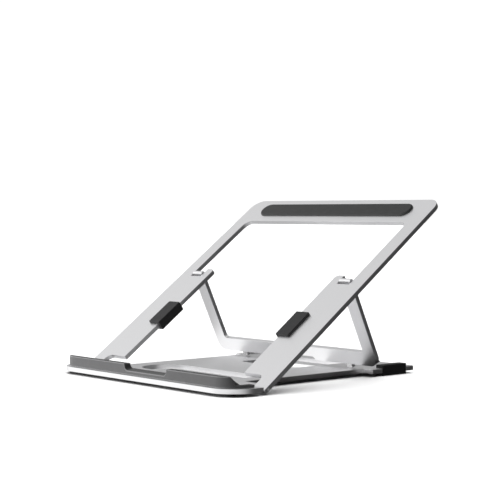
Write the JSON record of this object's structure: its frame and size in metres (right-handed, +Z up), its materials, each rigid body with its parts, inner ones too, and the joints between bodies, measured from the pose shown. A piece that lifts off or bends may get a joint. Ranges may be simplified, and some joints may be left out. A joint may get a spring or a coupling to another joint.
{
  "type": "laptop stand",
  "caption": "Folding aluminium laptop stand: a flat base with a silicone lip, a tilted open tray and a U-shaped strut that nest in each other.",
  "frame": {"origin": "middle of the stand's footprint on the table, tray open", "axes": "+X to the user's right, -Y towards the user, +Z up from the table"},
  "size_m": [0.24, 0.2394, 0.1521],
  "materials": {
    "anodised": "bead-blasted, clear anodised",
    "dark_silicone": "matte",
    "grey_silicone": "matte",
    "steel": "bright"
  },
  "bodies": {
    "base": {"base_plate": "anodised", "front_lip": "dark_silicone", "front_foot_left": "dark_silicone", "front_foot_right": "dark_silicone", "rear_clip_left": "dark_silicone", "rear_clip_right": "dark_silicone", "lower_pin_left": "steel", "lower_pin_right": "steel", "lower_washer_left": "steel", "lower_washer_right": "steel"},
    "tray": {"tray_frame": "anodised", "top_pad": "dark_silicone", "rail_clip_left": "dark_silicone", "rail_clip_right": "dark_silicone", "upper_pin_left": "steel", "upper_pin_right": "steel", "upper_washers_left": "steel", "upper_washers_right": "steel"},
    "strut": {"strut_frame": "anodised", "strut_grip": "dark_silicone", "strut_rest_left": "grey_silicone", "strut_rest_right": "grey_silicone"}
  },
  "joints": [
    {"name": "tray_fold", "type": "hinge", "parent": "base", "child": "tray", "pos_m": [0, -0.08238, 0.0045], "axis": [1, 0, 0], "range_deg": [-26.5, 0]},
    {"name": "strut_fold", "type": "hinge", "parent": "tray", "child": "strut", "pos_m": [0, 0.0249, 0.08244], "axis": [1, 0, 0], "range_deg": [0, 101]}
  ],
  "couplings": [
    {"joint": "strut_fold", "follows": "tray_fold", "ratio": -3.8}
  ]
}
